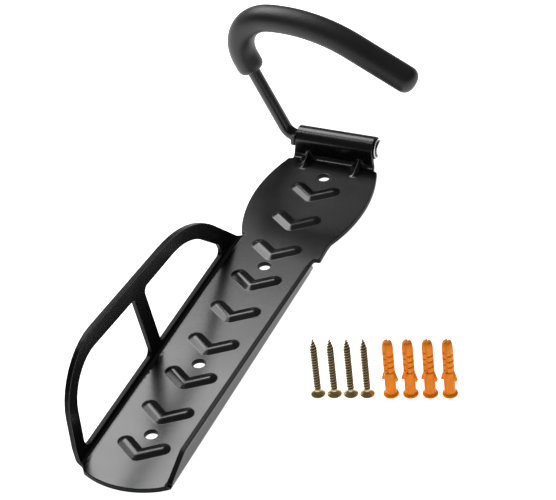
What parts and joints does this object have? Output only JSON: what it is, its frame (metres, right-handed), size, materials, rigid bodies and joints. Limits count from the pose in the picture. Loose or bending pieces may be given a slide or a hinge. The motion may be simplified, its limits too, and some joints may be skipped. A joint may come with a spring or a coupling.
{
  "type": "bicycle wall rack",
  "caption": "Folding bicycle hook with a rubber-sleeved rod, hinged in the rolled eye of a folded wall plate with chevrons, side guard and lip, with screws and wall plugs.",
  "frame": {"origin": "centre of the top screw hole on the plate's wall face, with the rack lying on its back", "axes": "+Z out of the wall, square to the plate; +Y up the wall, from the tray to the hinge; +X to the right"},
  "size_m": [0.2076, 0.3137, 0.103],
  "materials": {
    "black_powder_coat": "satin",
    "black_coated_rod": "satin",
    "black_rubber": "matte",
    "bright_cap": "polished",
    "yellow_zinc": "satin",
    "orange_nylon": "satin"
  },
  "bodies": {
    "plate": {"backplate": "black_powder_coat"},
    "hook": {"hook_rod": "black_coated_rod", "grip_sleeve": "black_rubber", "end_cap": "bright_cap"},
    "screw_1": {"screw_1": "yellow_zinc"},
    "screw_2": {"screw_2": "yellow_zinc"},
    "screw_3": {"screw_3": "yellow_zinc"},
    "screw_4": {"screw_4": "yellow_zinc"},
    "wall_plug_1": {"wall_plug_1": "orange_nylon"},
    "wall_plug_2": {"wall_plug_2": "orange_nylon"},
    "wall_plug_3": {"wall_plug_3": "orange_nylon"},
    "wall_plug_4": {"wall_plug_4": "orange_nylon"}
  },
  "joints": [
    {"name": "hook_fold", "type": "hinge", "parent": "plate", "child": "hook", "pos_m": [0, 0.024, 0.0127], "axis": [-1, 0, 0], "range_deg": [0, 90]},
    {"name": "screw_1_lift", "type": "slide", "parent": "plate", "child": "screw_1", "axis": [0, 0, 1], "range_m": [0, 0.06]},
    {"name": "screw_2_lift", "type": "slide", "parent": "plate", "child": "screw_2", "axis": [0, 0, 1], "range_m": [0, 0.06]},
    {"name": "screw_3_lift", "type": "slide", "parent": "plate", "child": "screw_3", "axis": [0, 0, 1], "range_m": [0, 0.06]},
    {"name": "screw_4_lift", "type": "slide", "parent": "plate", "child": "screw_4", "axis": [0, 0, 1], "range_m": [0, 0.06]},
    {"name": "wall_plug_1_lift", "type": "slide", "parent": "plate", "child": "wall_plug_1", "axis": [0, 0, 1], "range_m": [0, 0.06]},
    {"name": "wall_plug_2_lift", "type": "slide", "parent": "plate", "child": "wall_plug_2", "axis": [0, 0, 1], "range_m": [0, 0.06]},
    {"name": "wall_plug_3_lift", "type": "slide", "parent": "plate", "child": "wall_plug_3", "axis": [0, 0, 1], "range_m": [0, 0.06]},
    {"name": "wall_plug_4_lift", "type": "slide", "parent": "plate", "child": "wall_plug_4", "axis": [0, 0, 1], "range_m": [0, 0.06]}
  ]
}
